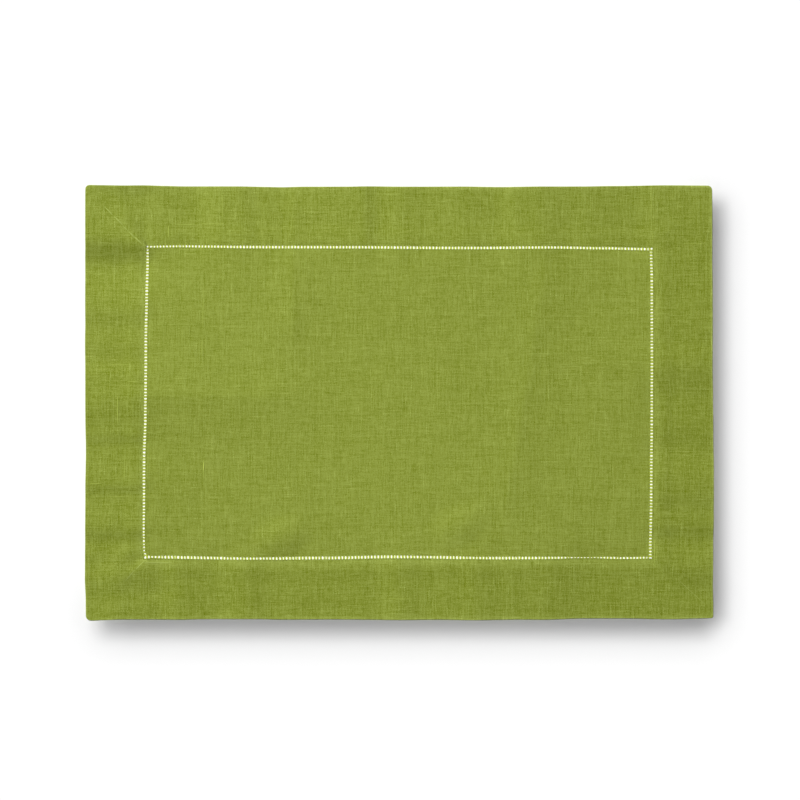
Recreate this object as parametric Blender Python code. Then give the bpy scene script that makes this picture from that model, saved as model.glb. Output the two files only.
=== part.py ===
"""Hemstitched linen table mat, lying flat on its underside.

One piece of cloth: a thin centre panel inside a wide turned hem, with the shallow
drawn-thread row between them, mitre ridges at the corners, and the low ripples that the
cloth keeps after it is laid out. X runs along the long side, Y away from the person at the
table, and Z up. The origin is the centre of the mat's box, at the table's surface.
"""

import math
from collections import namedtuple

import bmesh
import bpy

MM = 0.001

# Driving dimensions, in metres
WIDTH = 0.508
DEPTH = 0.351
HEM_WIDTH_X = 0.0495          # left and right hems, outer fold to drawn-thread row
HEM_WIDTH_Y = 0.0498          # top and bottom hems
HEM_THICKNESS = 0.0017        # two layers, and the raw edge tucked in between
PANEL_THICKNESS = 0.0012
ROW_THICKNESS = 0.0010        # cloth left in the drawn-thread row
ROW_HALF_WIDTH = 0.0014
HEM_SHOULDER = 0.0035         # hem's top falls to the row over this width
PANEL_SHOULDER = 0.0090       # panel's top falls from the row over this width
FOLD_FACE = 0.0007            # upright face in the middle of the round outer fold
MITRE_RIDGE_HEIGHT = 0.0003
MITRE_RIDGE_HALF_WIDTH = 0.0050

HALF_X = WIDTH / 2
HALF_Y = DEPTH / 2
ROW_X = HALF_X - HEM_WIDTH_X
ROW_Y = HALF_Y - HEM_WIDTH_Y

# Distances in from an edge where the surface has a line of points, in metres
EDGE_STATIONS = (0.0, 0.0005, 0.0014, 0.0030, 0.0100, 0.0200, 0.0300, 0.0400,
                 0.0460, 0.0482, 0.0508, 0.0530, 0.0590, 0.0690, 0.0800)
PANEL_SPACING_X = 0.014
PANEL_SPACING_Y = 0.009

# How far each side wanders outwards from the straight line, read along the side.
# Stations run along X for the top and bottom, and along Y for the left and right.
Wander = namedtuple("Wander", "along_mm out_mm")

TOP_EDGE = (Wander(-254, 0.8), Wander(-238, 0.8), Wander(-218, 0.4), Wander(-178, -0.1),
            Wander(-97, -0.8), Wander(-16, -0.3), Wander(50, -0.7), Wander(106, -0.7),
            Wander(166, 0.0), Wander(212, 0.6), Wander(254, 0.3))
BOTTOM_EDGE = (Wander(-254, 0.7), Wander(-248, 0.9), Wander(-238, 0.3), Wander(-147, -0.5),
               Wander(-56, 0.0), Wander(5, 0.3), Wander(65, 0.3), Wander(146, -0.8),
               Wander(166, -1.2), Wander(210, -0.5), Wander(254, -1.2))
LEFT_EDGE = (Wander(-175, -0.2), Wander(-160, -0.1), Wander(-143, 0.5), Wander(-79, 0.2),
             Wander(-38, -0.3), Wander(51, 0.3), Wander(164, 0.2), Wander(175, 0.1))
RIGHT_EDGE = (Wander(-168, 0.2), Wander(-143, -0.2), Wander(-95, 0.5), Wander(-22, 0.0),
              Wander(35, -0.5), Wander(75, -0.3), Wander(132, -0.7), Wander(148, -0.4),
              Wander(175, -0.7))

TOP_ROW = (Wander(-204, 0.5), Wander(-178, 0.9), Wander(-117, 0.3), Wander(-46, 0.2),
           Wander(55, -0.4), Wander(126, 0.0), Wander(166, -0.6), Wander(204, -1.4))
BOTTOM_ROW = (Wander(-206, -1.1), Wander(-117, 0.2), Wander(-56, -0.3), Wander(-5, -1.3),
              Wander(85, -0.3), Wander(156, -0.6), Wander(187, -0.2), Wander(203, -0.5))
LEFT_ROW = (Wander(-125, 1.5), Wander(-109, 2.3), Wander(-77, 2.3), Wander(-45, 2.1),
            Wander(-12, 1.1), Wander(52, 0.7), Wander(85, 0.0), Wander(126, -0.9))
RIGHT_ROW = (Wander(-125, -1.5), Wander(-77, -0.9), Wander(-12, -0.4), Wander(100, -0.4),
             Wander(124, -1.0))

# Corner radii of the outer fold, in metres, by the signs of X and Y
CORNER_RADII = {(-1, 1): 0.0025, (1, 1): 0.0030, (-1, -1): 0.0034, (1, -1): 0.0018}

# Low ripples where the cloth stands off the table, in millimetres; the turn is in degrees,
# from X to the ripple's long axis, and half_length and half_width reach to its foot.
Ripple = namedtuple("Ripple", "x y turn half_length half_width height")

RIPPLES = (
    # Left hem, across its width
    Ripple(x=-228, y=131, turn=-3, half_length=40, half_width=16, height=0.9),
    Ripple(x=-232, y=76, turn=2, half_length=34, half_width=15, height=0.5),
    Ripple(x=-230, y=45, turn=-4, half_length=34, half_width=14, height=0.5),
    Ripple(x=-233, y=-22, turn=3, half_length=34, half_width=16, height=0.6),
    Ripple(x=-230, y=-64, turn=-5, half_length=32, half_width=15, height=0.6),
    Ripple(x=-231, y=-97, turn=4, half_length=32, half_width=15, height=0.5),
    # Right hem, nearer its outer fold
    Ripple(x=238, y=27, turn=0, half_length=26, half_width=16, height=0.5),
    Ripple(x=240, y=-19, turn=4, half_length=24, half_width=15, height=0.5),
    Ripple(x=239, y=-71, turn=-3, half_length=24, half_width=15, height=0.6),
    # Bottom hem, where it stands off the table between its ends
    Ripple(x=-222, y=-140, turn=-42, half_length=30, half_width=12, height=0.8),
    Ripple(x=-130, y=-151, turn=84, half_length=32, half_width=24, height=0.7),
    Ripple(x=3, y=-151, turn=92, half_length=32, half_width=26, height=0.7),
    Ripple(x=120, y=-150, turn=95, half_length=32, half_width=26, height=0.8),
    # Top hem
    Ripple(x=-136, y=151, turn=86, half_length=30, half_width=24, height=0.5),
    Ripple(x=3, y=152, turn=90, half_length=30, half_width=26, height=0.5),
    Ripple(x=114, y=151, turn=94, half_length=30, half_width=26, height=0.6),
    # Centre panel, long and shallow
    Ripple(x=-168, y=8, turn=2, half_length=52, half_width=20, height=0.7),
    Ripple(x=-97, y=-100, turn=-40, half_length=30, half_width=18, height=0.8),
    Ripple(x=-92, y=62, turn=-38, half_length=90, half_width=38, height=0.7),
    Ripple(x=128, y=72, turn=-35, half_length=48, half_width=24, height=0.5),
    Ripple(x=60, y=-112, turn=-30, half_length=40, half_width=20, height=0.5),
)

LINEN_COLOUR = (0.258, 0.314, 0.050, 1.0)
LINEN_ROUGHNESS = 0.92


def clear_scene():
    """Remove every object, so that the file holds only the mat."""
    for old in list(bpy.data.objects):
        bpy.data.objects.remove(old, do_unlink=True)


def smooth_step(value):
    """Ease from 0 to 1 with level ends."""
    value = min(max(value, 0.0), 1.0)
    return value * value * (3.0 - 2.0 * value)


def read_wander(table, along):
    """Distance outwards, in metres, that a side wanders at one place along it."""
    along_mm = min(max(along / MM, table[0].along_mm), table[-1].along_mm)
    for low, high in zip(table, table[1:]):
        if along_mm <= high.along_mm:
            share = (along_mm - low.along_mm) / (high.along_mm - low.along_mm)
            return (low.out_mm + (high.out_mm - low.out_mm) * smooth_step(share)) * MM
    return table[-1].out_mm * MM


def between_rails(value, straight, wandering):
    """Read a value off the wandering rails, from its place between the straight ones."""
    index = sum(value > rail for rail in straight[1:-1])
    share = (value - straight[index]) / (straight[index + 1] - straight[index])
    return wandering[index] + (wandering[index + 1] - wandering[index]) * share


def round_corner(x, y):
    """Draw the points of a square corner in to its round one."""
    corner = (1 if x > 0 else -1, 1 if y > 0 else -1)
    radius = CORNER_RADII[corner]
    past_x = abs(x) - (HALF_X - radius)
    past_y = abs(y) - (HALF_Y - radius)
    if past_x <= 0 or past_y <= 0:
        return x, y
    pull = max(past_x, past_y) / math.hypot(past_x, past_y)
    return (corner[0] * (HALF_X - radius + past_x * pull),
            corner[1] * (HALF_Y - radius + past_y * pull))


def laid_out(x, y):
    """Place of a point of the straight-sided mat on the real, uneven one."""
    x, y = round_corner(x, y)
    across = between_rails(
        x,
        (-HALF_X, -ROW_X, ROW_X, HALF_X),
        (-HALF_X - read_wander(LEFT_EDGE, y), -ROW_X - read_wander(LEFT_ROW, y),
         ROW_X + read_wander(RIGHT_ROW, y), HALF_X + read_wander(RIGHT_EDGE, y)))
    up = between_rails(
        y,
        (-HALF_Y, -ROW_Y, ROW_Y, HALF_Y),
        (-HALF_Y - read_wander(BOTTOM_EDGE, x), -ROW_Y - read_wander(BOTTOM_ROW, x),
         ROW_Y + read_wander(TOP_ROW, x), HALF_Y + read_wander(TOP_EDGE, x)))
    return across, up


def ripple_lift(x, y):
    """Height of the cloth off the table at one place."""
    lift = 0.0
    for ripple in RIPPLES:
        turn = math.radians(ripple.turn)
        from_x = x / MM - ripple.x
        from_y = y / MM - ripple.y
        along = (from_x * math.cos(turn) + from_y * math.sin(turn)) / ripple.half_length
        across = (from_y * math.cos(turn) - from_x * math.sin(turn)) / ripple.half_width
        reach = along * along + across * across
        if reach < 1.0:
            lift = max(lift, ripple.height * MM * (1.0 - reach) ** 2)
    return lift


def mitre_ridge(x, y):
    """Extra thickness over the mitre seam, which runs from the row's corner outwards."""
    past_x = abs(x) - ROW_X
    past_y = abs(y) - ROW_Y
    if past_x <= 0 or past_y <= 0:
        return 0.0
    off_seam = abs(past_x - past_y) / math.sqrt(2.0)
    return MITRE_RIDGE_HEIGHT * (1.0 - smooth_step(off_seam / MITRE_RIDGE_HALF_WIDTH))


def thickness(x, y):
    """Thickness of the cloth between its two faces."""
    past_row = max(abs(x) - ROW_X, abs(y) - ROW_Y)
    off_row = abs(past_row) - ROW_HALF_WIDTH
    if past_row > 0:
        rise = smooth_step(off_row / HEM_SHOULDER)
        return ROW_THICKNESS + (HEM_THICKNESS - ROW_THICKNESS) * rise + mitre_ridge(x, y)
    rise = smooth_step(off_row / PANEL_SHOULDER)
    return ROW_THICKNESS + (PANEL_THICKNESS - ROW_THICKNESS) * rise


def fold_share(x, y):
    """Share of the hem's thickness that is left beside the round outer fold."""
    inset = max(min(HALF_X - abs(x), HALF_Y - abs(y)), 0.0)
    radius = HEM_THICKNESS / 2
    if inset >= radius:
        return 1.0
    half = math.sqrt(radius ** 2 - (radius - inset) ** 2)
    return max(2 * half, FOLD_FACE) / HEM_THICKNESS


def stations(half, spacing):
    """Places of the lines of points across the mat, from one edge to the other."""
    low = [-half + inset for inset in EDGE_STATIONS]
    high = [-place for place in reversed(low)]
    span = high[0] - low[-1]
    count = round(span / spacing)
    middle = [low[-1] + span * step / count for step in range(1, count)]
    return low + middle + high


def build_cloth():
    """Model the mat as one closed sheet: a grid, extruded and laid to its two faces."""
    lines_x = stations(HALF_X, PANEL_SPACING_X)
    lines_y = stations(HALF_Y, PANEL_SPACING_Y)
    segments_x = len(lines_x) - 1
    segments_y = len(lines_y) - 1

    sheet = bmesh.new()
    bmesh.ops.create_grid(sheet, x_segments=segments_x, y_segments=segments_y, size=1.0)
    for point in sheet.verts:
        step_x = round((point.co.x + 1.0) / 2.0 * segments_x)
        step_y = round((point.co.y + 1.0) / 2.0 * segments_y)
        point.co = (lines_x[step_x], lines_y[step_y], 0.0)

    extruded = bmesh.ops.extrude_face_region(sheet, geom=sheet.faces[:])
    upper_points = {item for item in extruded["geom"] if isinstance(item, bmesh.types.BMVert)}
    for point in sheet.verts:
        x, y = point.co.x, point.co.y
        half = thickness(x, y) / 2
        middle = ripple_lift(x, y) + half
        side = 1 if point in upper_points else -1
        place_x, place_y = laid_out(x, y)
        point.co = (place_x, place_y, middle + side * half * fold_share(x, y))
    centre_on_origin(sheet)
    bmesh.ops.recalc_face_normals(sheet, faces=sheet.faces[:])

    mesh = bpy.data.meshes.new("linen_mat")
    sheet.to_mesh(mesh)
    sheet.free()
    mesh.shade_smooth()
    cloth = bpy.data.objects.new("linen_mat", mesh)
    bpy.context.scene.collection.objects.link(cloth)
    return cloth


def centre_on_origin(sheet):
    """Move the points so that the box's centre stands over the origin."""
    places_x = [point.co.x for point in sheet.verts]
    places_y = [point.co.y for point in sheet.verts]
    middle_x = (min(places_x) + max(places_x)) / 2
    middle_y = (min(places_y) + max(places_y)) / 2
    bmesh.ops.translate(sheet, verts=sheet.verts[:], vec=(-middle_x, -middle_y, 0.0))


def linen_material():
    """Matt green linen."""
    material = bpy.data.materials.new("green linen")
    material.use_nodes = True
    shader = material.node_tree.nodes["Principled BSDF"]
    shader.inputs["Base Color"].default_value = LINEN_COLOUR
    shader.inputs["Roughness"].default_value = LINEN_ROUGHNESS
    shader.inputs["Metallic"].default_value = 0.0
    return material


clear_scene()
mat = build_cloth()
mat.data.materials.append(linen_material())
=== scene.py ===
"""Green linen table mat, laid flat: centre panel, ladder hemstitch and wide mitred hem.

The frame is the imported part's: X along the long side, Y away from the person at the table,
Z up, and the origin under the middle of the mat. Sizes are in metres, unless a name ends in _mm
or a docstring says otherwise. Angles are in degrees where a name ends in _deg.
The cloth is made as it is sewn: a thin centre panel, a hem that turns under at the outer fold
and again at its tucked raw edge, the bare yarns of the drawn strip between them, and the
sewing thread that gathers those yarns into bundles.
"""

import logging
import math
from dataclasses import dataclass, field
from enum import Enum
from typing import NamedTuple, Sequence

import bpy
import numpy as np
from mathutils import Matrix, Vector, noise


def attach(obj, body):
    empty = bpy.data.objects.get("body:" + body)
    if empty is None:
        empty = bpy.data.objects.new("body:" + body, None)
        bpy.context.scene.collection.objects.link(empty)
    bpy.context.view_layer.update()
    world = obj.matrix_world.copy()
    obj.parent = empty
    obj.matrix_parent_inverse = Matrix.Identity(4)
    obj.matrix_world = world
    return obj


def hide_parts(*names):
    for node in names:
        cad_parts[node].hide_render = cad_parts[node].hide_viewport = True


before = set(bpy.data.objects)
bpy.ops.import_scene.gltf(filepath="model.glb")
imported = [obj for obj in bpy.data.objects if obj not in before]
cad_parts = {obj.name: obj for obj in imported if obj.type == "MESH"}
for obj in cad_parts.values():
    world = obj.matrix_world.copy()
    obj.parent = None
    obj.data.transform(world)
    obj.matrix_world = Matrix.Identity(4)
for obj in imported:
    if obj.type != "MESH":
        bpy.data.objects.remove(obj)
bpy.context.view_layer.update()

MM = 0.001
LEAST_WEIGHT = 1e-12
LOG = logging.getLogger("table_mat")
Array = np.ndarray


class Side(Enum):
    """The four sides of the mat, named as they lie in front of the person at the table."""

    TOP = "top"
    RIGHT = "right"
    BOTTOM = "bottom"
    LEFT = "left"

    @property
    def runs_across(self) -> bool:
        """Whether the side runs across the mat, as the top and the bottom do."""
        return self in (Side.TOP, Side.BOTTOM)

    @property
    def way(self) -> float:
        """1 for the top and the right, which lie on the axes' positive ways, or -1."""
        return 1.0 if self in (Side.TOP, Side.RIGHT) else -1.0


class Reading(NamedTuple):
    """A value read at one place along a side, both in millimetres."""

    along_mm: float
    value_mm: float


def readings(*pairs: tuple[float, float]) -> tuple[Reading, ...]:
    """Make a table of readings from places along a side and the values there."""
    return tuple(Reading(*pair) for pair in pairs)


class HemPaintedLight(NamedTuple):
    """Painted light and shade on one side's hem: how much darker the whole side is, as painted
    shade, most on the right and bottom, away from the light; and how much lighter it is in a band
    by the row, in a band by the edge and on the outer fold, as painted light.

    The bands by the row and by the edge are given with their widths in metres.
    """

    whole: float
    row_painted_light: float
    row_band: float
    edge_painted_light: float
    edge_band: float
    fold: float


class Ripple(NamedTuple):
    """A low ridge, or a trough where its height is below zero, in millimetres and degrees."""

    x: float
    y: float
    turn: float
    half_length: float
    half_width: float
    height: float


def smooth_step(value: Array) -> Array:
    """Ease from 0 to 1 with level ends.

    Args:
        value: Shares, which are held between 0 and 1.

    Returns:
        The eased shares.
    """
    share = np.clip(value, 0.0, 1.0)
    return share * share * (3.0 - 2.0 * share)


def read_along(table: Sequence[Reading], along: Array) -> Array:
    """Read a table smoothly along a side.

    Args:
        table: Readings in order along the side.
        along: Places along the side, in metres.

    Returns:
        The values at those places, in metres.
    """
    places = np.array([row.along_mm for row in table])
    values = np.array([row.value_mm for row in table])
    at = np.clip(np.asarray(along, float) / MM, places[0], places[-1])
    low = np.clip(np.searchsorted(places, at, side="right") - 1, 0, len(places) - 2)
    share = smooth_step((at - places[low]) / (places[low + 1] - places[low]))
    return (values[low] + (values[low + 1] - values[low]) * share) * MM


def past_rows(x: Array, y: Array, row_x: float, row_y: float) -> dict[Side, Array]:
    """Measure how far places lie outwards from each side's straight row.

    Args:
        x: Places across the straight-sided mat.
        y: Places up the straight-sided mat.
        row_x: Distance of the left and right rows from the middle.
        row_y: Distance of the top and bottom rows from the middle.

    Returns:
        The distances by side, below zero inside the row.
    """
    return {Side.TOP: y - row_y, Side.BOTTOM: -y - row_y,
            Side.RIGHT: x - row_x, Side.LEFT: -x - row_x}


def deselect_all() -> None:
    """Leave edit mode and deselect every object."""
    if bpy.context.object and bpy.context.object.mode != "OBJECT":
        bpy.ops.object.mode_set(mode="OBJECT")
    bpy.ops.object.select_all(action="DESELECT")


def select_only(piece: bpy.types.Object) -> None:
    """Select one object alone, and make it the active one."""
    deselect_all()
    piece.select_set(True)
    bpy.context.view_layer.objects.active = piece


def turn_outwards(piece: bpy.types.Object, weld: float = 0.0) -> None:
    """Turn a mesh's faces outwards.

    Args:
        piece: The mesh.
        weld: Points closer than this are joined first, unless it is zero.
    """
    select_only(piece)
    bpy.ops.object.mode_set(mode="EDIT")
    bpy.ops.mesh.select_all(action="SELECT")
    if weld > 0.0:
        bpy.ops.mesh.remove_doubles(threshold=weld)
    bpy.ops.mesh.normals_make_consistent(inside=False)
    bpy.ops.object.mode_set(mode="OBJECT")


def points_of(piece: bpy.types.Object) -> Array:
    """Read a mesh's points as an array of one row each."""
    flat = np.empty(len(piece.data.vertices) * 3)
    piece.data.vertices.foreach_get("co", flat)
    return flat.reshape(-1, 3)


def place_points(piece: bpy.types.Object, points: Array) -> None:
    """Put a mesh's points at new places."""
    piece.data.vertices.foreach_set("co", np.ascontiguousarray(points, float).ravel())
    piece.data.update()


def corner_points_of(piece: bpy.types.Object) -> Array:
    """Read which point each face corner of a mesh is at."""
    corners = np.empty(len(piece.data.loops), int)
    piece.data.loops.foreach_get("vertex_index", corners)
    return corners


def new_grid(name: str, segments_x: int,
             segments_y: int) -> tuple[bpy.types.Object, Array, Array]:
    """Add a grid and find each of its points' steps.

    Args:
        name: The new object's name.
        segments_x: Faces along its first direction.
        segments_y: Faces along its second direction.

    Returns:
        The object, and the two whole-number steps of each of its points.
    """
    deselect_all()
    bpy.ops.mesh.primitive_grid_add(
        x_subdivisions=segments_x, y_subdivisions=segments_y, size=2.0)
    piece = bpy.context.object
    piece.name = piece.data.name = name
    points = points_of(piece)
    step_x = np.rint((points[:, 0] + 1.0) / 2.0 * segments_x).astype(int)
    step_y = np.rint((points[:, 1] + 1.0) / 2.0 * segments_y).astype(int)
    return piece, step_x, step_y


def write_uv(piece: bpy.types.Object, corners: Array) -> None:
    """Keep each face corner's place on the flat cloth as the UV map named linen.

    Args:
        piece: The cloth surface.
        corners: One row for each face corner, in metres on the cut cloth.
    """
    for layer in list(piece.data.uv_layers):
        piece.data.uv_layers.remove(layer)
    layer = piece.data.uv_layers.new(name="linen")
    layer.data.foreach_set("uv", np.ascontiguousarray(corners, float).ravel())


@dataclass
class MatShape:
    """Outline of the mat, the lines of its hemstitch rows, and how both wander."""

    half_x: float = 0.254
    half_y: float = 0.1755
    hem_x: float = 0.0495
    hem_y: float = 0.0498
    corner_radii: dict[tuple[int, int], float] = field(default_factory=lambda: {
        (-1, 1): 0.0034, (1, 1): 0.0039, (-1, -1): 0.0040, (1, -1): 0.0020})
    edges: dict[Side, Sequence[Reading]] = field(default_factory=lambda: {
        Side.TOP: readings((-254, 0.5), (-240, 0.3), (-224, 0.1), (-207, 0.3), (-191, -0.1),
                           (-175, -0.4), (-135, -0.5), (-94, -1.1), (-78, -0.7), (-46, -0.7),
                           (-22, -0.4), (3, -0.7), (50, -0.6), (84, -1.0), (116, -0.6),
                           (149, -0.5), (173, -0.1), (217, 0.5), (254, 0.3)),
        Side.BOTTOM: readings((-254, 0.6), (-248, 0.8), (-240, 0.3), (-224, -0.2), (-175, 0.0),
                              (-159, -0.4), (-118, -0.5), (-94, 0.0), (-53, -0.2), (3, 0.2),
                              (35, -0.1), (60, 0.3), (100, -0.2), (118, 0.0), (149, -0.9),
                              (181, -0.9), (220, -0.3), (246, -0.9), (254, -1.2)),
        Side.LEFT: readings((-175, -0.4), (-160, -0.3), (-143, 0.3), (-79, 0.0), (-38, -0.5),
                            (-16, -0.2), (16, -0.2), (48, 0.1), (65, -0.1), (97, 0.1), (113, 0.2),
                            (129, -0.3), (164, -0.3), (175, -0.4)),
        Side.RIGHT: readings((-168, 0.1), (-146, -0.3), (-113, 0.0), (-95, 0.3), (-49, 0.3),
                             (-24, 0.0), (2, -0.3), (32, -0.8), (65, -0.6), (97, -0.6),
                             (115, -0.8), (146, -0.7), (175, -0.9))})
    rows: dict[Side, Sequence[Reading]] = field(default_factory=lambda: {
        Side.TOP: readings((-204, 0.5), (-178, 0.9), (-117, 0.2), (-46, 0.1), (55, -0.5),
                           (126, -0.1), (166, -0.7), (204, -1.4)),
        Side.BOTTOM: readings((-206, -1.1), (-117, 0.2), (-56, -0.3), (-5, -1.3), (85, -0.3),
                              (156, -0.6), (187, -0.2), (203, -0.5)),
        Side.LEFT: readings((-125, 0.6), (-121, 1.9), (-109, 2.2), (-77, 2.0), (-45, 1.9),
                            (-12, 0.7), (10, 0.4), (52, 0.4), (85, -0.3), (126, -1.1)),
        Side.RIGHT: readings((-125, -1.6), (-77, -1.0), (-12, -0.5), (100, -0.5), (124, -1.0))})
    shift: tuple[float, float] = (0.0, 0.0)
    outline_steps: int = 2001

    @property
    def row_x(self) -> float:
        """Distance of the left and right rows from the middle."""
        return self.half_x - self.hem_x

    @property
    def row_y(self) -> float:
        """Distance of the top and bottom rows from the middle."""
        return self.half_y - self.hem_y

    def rounded(self, x: Array, y: Array) -> tuple[Array, Array]:
        """Draw the points of the square corners in to the round ones.

        Args:
            x: Places across the straight-sided mat.
            y: Places up the straight-sided mat.

        Returns:
            The same places, with those at the corners drawn in.
        """
        x, y = x.copy(), y.copy()
        for (way_x, way_y), radius in self.corner_radii.items():
            past_x = way_x * x - (self.half_x - radius)
            past_y = way_y * y - (self.half_y - radius)
            inside = (past_x > 0) & (past_y > 0)
            reach = np.hypot(past_x[inside], past_y[inside])
            pull = np.maximum(past_x[inside], past_y[inside]) / reach
            x[inside] = way_x * (self.half_x - radius + past_x[inside] * pull)
            y[inside] = way_y * (self.half_y - radius + past_y[inside] * pull)
        return x, y

    def laid_out(self, x: Array, y: Array) -> tuple[Array, Array]:
        """Find where points of the straight-sided mat lie on the real, uneven one.

        Args:
            x: Places across the straight-sided mat.
            y: Places up the straight-sided mat.

        Returns:
            The places across and up on the mat as it lies.
        """
        x, y = self.rounded(np.asarray(x, float), np.asarray(y, float))
        across = self.between(x, self.half_x, self.row_x, (
            read_along(self.edges[Side.LEFT], y), read_along(self.rows[Side.LEFT], y),
            read_along(self.rows[Side.RIGHT], y), read_along(self.edges[Side.RIGHT], y)))
        up = self.between(y, self.half_y, self.row_y, (
            read_along(self.edges[Side.BOTTOM], x), read_along(self.rows[Side.BOTTOM], x),
            read_along(self.rows[Side.TOP], x), read_along(self.edges[Side.TOP], x)))
        return across + self.shift[0], up + self.shift[1]

    def near_row(self, side: Side, along: Array, reach: Array) -> tuple[Array, Array]:
        """Find places near one side's row on the straight-sided mat.

        Args:
            side: The side of the mat.
            along: Places along the row.
            reach: Distances outwards from the row's line.

        Returns:
            The places across and up.
        """
        if side.runs_across:
            return along, side.way * (self.row_y + reach)
        return side.way * (self.row_x + reach), along

    @staticmethod
    def between(value: Array, half: float, row: float, out: Sequence[Array]) -> Array:
        """Read values off the wandering lines, from their places between the straight ones.

        Args:
            value: Places across the straight-sided mat.
            half: Distance of the outer edges from the middle.
            row: Distance of the rows from the middle.
            out: Distances outwards of low edge, low row, high row and high edge.

        Returns:
            The places between the wandering lines.
        """
        low_edge, low_row = -half - out[0], -row - out[1]
        high_row, high_edge = row + out[2], half + out[3]
        low = low_edge + (low_row - low_edge) * (value + half) / (half - row)
        middle = low_row + (high_row - low_row) * (value + row) / (2 * row)
        high = high_row + (high_edge - high_row) * (value - row) / (half - row)
        return np.where(value < -row, low, np.where(value > row, high, middle))

    def centre_on_origin(self) -> None:
        """Shift the mat so that the middle of its outline's box stands over the origin."""
        steps = np.linspace(-1.0, 1.0, self.outline_steps)
        ones = np.ones_like(steps)
        sides_x, _ = self.laid_out(np.concatenate([-ones, ones]) * self.half_x,
                                   np.concatenate([steps, steps]) * self.half_y)
        _, sides_y = self.laid_out(np.concatenate([steps, steps]) * self.half_x,
                                   np.concatenate([-ones, ones]) * self.half_y)
        self.shift = (-(sides_x.min() + sides_x.max()) / 2,
                      -(sides_y.min() + sides_y.max()) / 2)


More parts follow.
